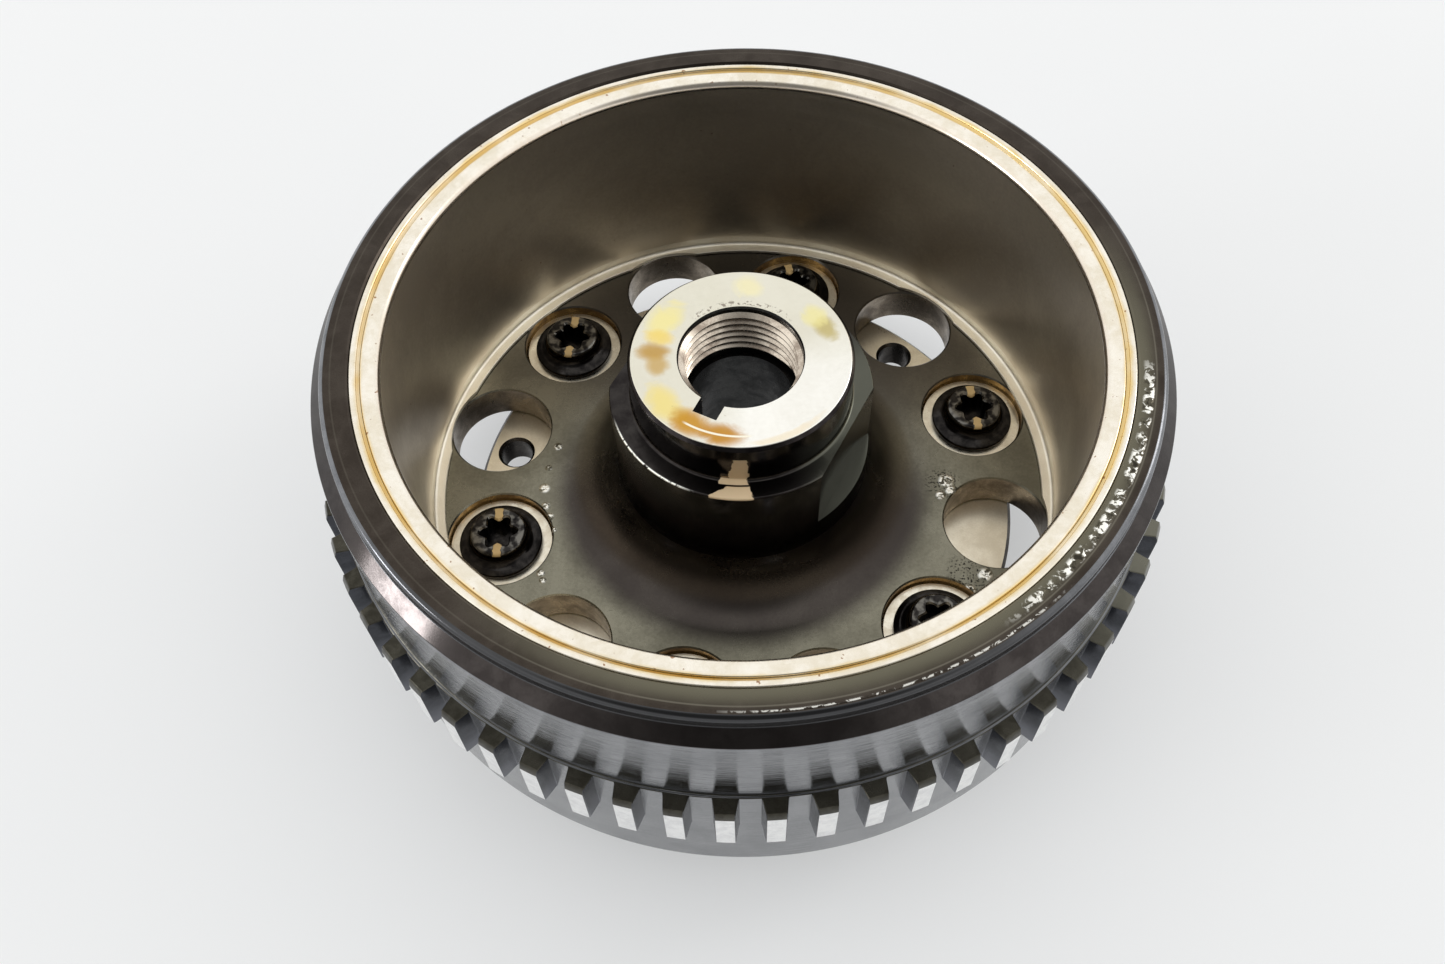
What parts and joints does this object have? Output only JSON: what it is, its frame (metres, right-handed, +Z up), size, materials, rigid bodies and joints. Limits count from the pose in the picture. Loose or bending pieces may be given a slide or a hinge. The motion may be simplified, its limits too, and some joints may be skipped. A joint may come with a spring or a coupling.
{
  "type": "alternator rotor with starter clutch",
  "caption": "Deep alternator flywheel with magnet liner, puller-threaded hub and trigger teeth, with a sprag starter clutch bolted under its windowed web.",
  "frame": {"origin": "on the rotor's axis at the clutch housing's standing face", "axes": "+Z up along the axis towards the cup's mouth; the keyway lies near -Y"},
  "size_m": [0.14, 0.14, 0.066],
  "materials": {
    "forged_steel": "dark oiled machined forging",
    "liner_steel": "brushed stainless with brown oil film",
    "mouth_ring": "pale satin",
    "spacer_plastic": "oil-stained resin",
    "screw_black": "black oxide, oiled",
    "housing_steel": "fine turned, warm",
    "ring_steel": "spring steel",
    "cage_steel": "pressed strip, satin",
    "spring_steel": "bright wire",
    "magnet": "ground ferrite",
    "sprag_steel": "hardened, polished"
  },
  "bodies": {
    "rotor": {"flywheel_body": "forged_steel", "magnet_cover": "liner_steel", "mouth_ring": "mouth_ring", "magnet_spacer": "spacer_plastic", "magnet_01": "magnet", "magnet_02": "magnet", "magnet_03": "magnet", "magnet_04": "magnet", "magnet_05": "magnet", "magnet_06": "magnet", "magnet_07": "magnet", "magnet_08": "magnet", "magnet_09": "magnet", "magnet_10": "magnet", "magnet_11": "magnet", "magnet_12": "magnet", "clutch_screws": "screw_black", "clutch_housing": "housing_steel", "retaining_ring": "ring_steel"},
    "clutch_cage": {"clutch_outer_cage": "cage_steel", "clutch_inner_cage": "cage_steel", "garter_spring_upper": "spring_steel", "garter_spring_lower": "spring_steel"},
    "sprag_01": {"sprag_01": "sprag_steel"},
    "sprag_02": {"sprag_02": "sprag_steel"},
    "sprag_03": {"sprag_03": "sprag_steel"},
    "sprag_04": {"sprag_04": "sprag_steel"},
    "sprag_05": {"sprag_05": "sprag_steel"},
    "sprag_06": {"sprag_06": "sprag_steel"},
    "sprag_07": {"sprag_07": "sprag_steel"},
    "sprag_08": {"sprag_08": "sprag_steel"},
    "sprag_09": {"sprag_09": "sprag_steel"},
    "sprag_10": {"sprag_10": "sprag_steel"},
    "sprag_11": {"sprag_11": "sprag_steel"},
    "sprag_12": {"sprag_12": "sprag_steel"},
    "sprag_13": {"sprag_13": "sprag_steel"},
    "sprag_14": {"sprag_14": "sprag_steel"},
    "sprag_15": {"sprag_15": "sprag_steel"},
    "sprag_16": {"sprag_16": "sprag_steel"}
  },
  "joints": [
    {"name": "clutch_spin", "type": "hinge", "parent": "rotor", "child": "clutch_cage", "pos_m": [0, 0, 0.0097], "axis": [0, 0, 1], "continuous": true},
    {"name": "sprag_01_tilt", "type": "hinge", "parent": "clutch_cage", "child": "sprag_01", "pos_m": [0.0278, 0, 0.0096], "axis": [0, 0, 1], "range_deg": [-4, 7]},
    {"name": "sprag_02_tilt", "type": "hinge", "parent": "clutch_cage", "child": "sprag_02", "pos_m": [0.02568, 0.01064, 0.0096], "axis": [0, 0, 1], "range_deg": [-4, 7]},
    {"name": "sprag_03_tilt", "type": "hinge", "parent": "clutch_cage", "child": "sprag_03", "pos_m": [0.01966, 0.01966, 0.0096], "axis": [0, 0, 1], "range_deg": [-4, 7]},
    {"name": "sprag_04_tilt", "type": "hinge", "parent": "clutch_cage", "child": "sprag_04", "pos_m": [0.01064, 0.02568, 0.0096], "axis": [0, 0, 1], "range_deg": [-4, 7]},
    {"name": "sprag_05_tilt", "type": "hinge", "parent": "clutch_cage", "child": "sprag_05", "pos_m": [0, 0.0278, 0.0096], "axis": [0, 0, 1], "range_deg": [-4, 7]},
    {"name": "sprag_06_tilt", "type": "hinge", "parent": "clutch_cage", "child": "sprag_06", "pos_m": [-0.01064, 0.02568, 0.0096], "axis": [0, 0, 1], "range_deg": [-4, 7]},
    {"name": "sprag_07_tilt", "type": "hinge", "parent": "clutch_cage", "child": "sprag_07", "pos_m": [-0.01966, 0.01966, 0.0096], "axis": [0, 0, 1], "range_deg": [-4, 7]},
    {"name": "sprag_08_tilt", "type": "hinge", "parent": "clutch_cage", "child": "sprag_08", "pos_m": [-0.02568, 0.01064, 0.0096], "axis": [0, 0, 1], "range_deg": [-4, 7]},
    {"name": "sprag_09_tilt", "type": "hinge", "parent": "clutch_cage", "child": "sprag_09", "pos_m": [-0.0278, 0, 0.0096], "axis": [0, 0, 1], "range_deg": [-4, 7]},
    {"name": "sprag_10_tilt", "type": "hinge", "parent": "clutch_cage", "child": "sprag_10", "pos_m": [-0.02568, -0.01064, 0.0096], "axis": [0, 0, 1], "range_deg": [-4, 7]},
    {"name": "sprag_11_tilt", "type": "hinge", "parent": "clutch_cage", "child": "sprag_11", "pos_m": [-0.01966, -0.01966, 0.0096], "axis": [0, 0, 1], "range_deg": [-4, 7]},
    {"name": "sprag_12_tilt", "type": "hinge", "parent": "clutch_cage", "child": "sprag_12", "pos_m": [-0.01064, -0.02568, 0.0096], "axis": [0, 0, 1], "range_deg": [-4, 7]},
    {"name": "sprag_13_tilt", "type": "hinge", "parent": "clutch_cage", "child": "sprag_13", "pos_m": [0, -0.0278, 0.0096], "axis": [0, 0, 1], "range_deg": [-4, 7]},
    {"name": "sprag_14_tilt", "type": "hinge", "parent": "clutch_cage", "child": "sprag_14", "pos_m": [0.01064, -0.02568, 0.0096], "axis": [0, 0, 1], "range_deg": [-4, 7]},
    {"name": "sprag_15_tilt", "type": "hinge", "parent": "clutch_cage", "child": "sprag_15", "pos_m": [0.01966, -0.01966, 0.0096], "axis": [0, 0, 1], "range_deg": [-4, 7]},
    {"name": "sprag_16_tilt", "type": "hinge", "parent": "clutch_cage", "child": "sprag_16", "pos_m": [0.02568, -0.01064, 0.0096], "axis": [0, 0, 1], "range_deg": [-4, 7]}
  ],
  "couplings": [
    {"joint": "sprag_02_tilt", "follows": "sprag_01_tilt", "ratio": 1},
    {"joint": "sprag_03_tilt", "follows": "sprag_01_tilt", "ratio": 1},
    {"joint": "sprag_04_tilt", "follows": "sprag_01_tilt", "ratio": 1},
    {"joint": "sprag_05_tilt", "follows": "sprag_01_tilt", "ratio": 1},
    {"joint": "sprag_06_tilt", "follows": "sprag_01_tilt", "ratio": 1},
    {"joint": "sprag_07_tilt", "follows": "sprag_01_tilt", "ratio": 1},
    {"joint": "sprag_08_tilt", "follows": "sprag_01_tilt", "ratio": 1},
    {"joint": "sprag_09_tilt", "follows": "sprag_01_tilt", "ratio": 1},
    {"joint": "sprag_10_tilt", "follows": "sprag_01_tilt", "ratio": 1},
    {"joint": "sprag_11_tilt", "follows": "sprag_01_tilt", "ratio": 1},
    {"joint": "sprag_12_tilt", "follows": "sprag_01_tilt", "ratio": 1},
    {"joint": "sprag_13_tilt", "follows": "sprag_01_tilt", "ratio": 1},
    {"joint": "sprag_14_tilt", "follows": "sprag_01_tilt", "ratio": 1},
    {"joint": "sprag_15_tilt", "follows": "sprag_01_tilt", "ratio": 1},
    {"joint": "sprag_16_tilt", "follows": "sprag_01_tilt", "ratio": 1}
  ]
}
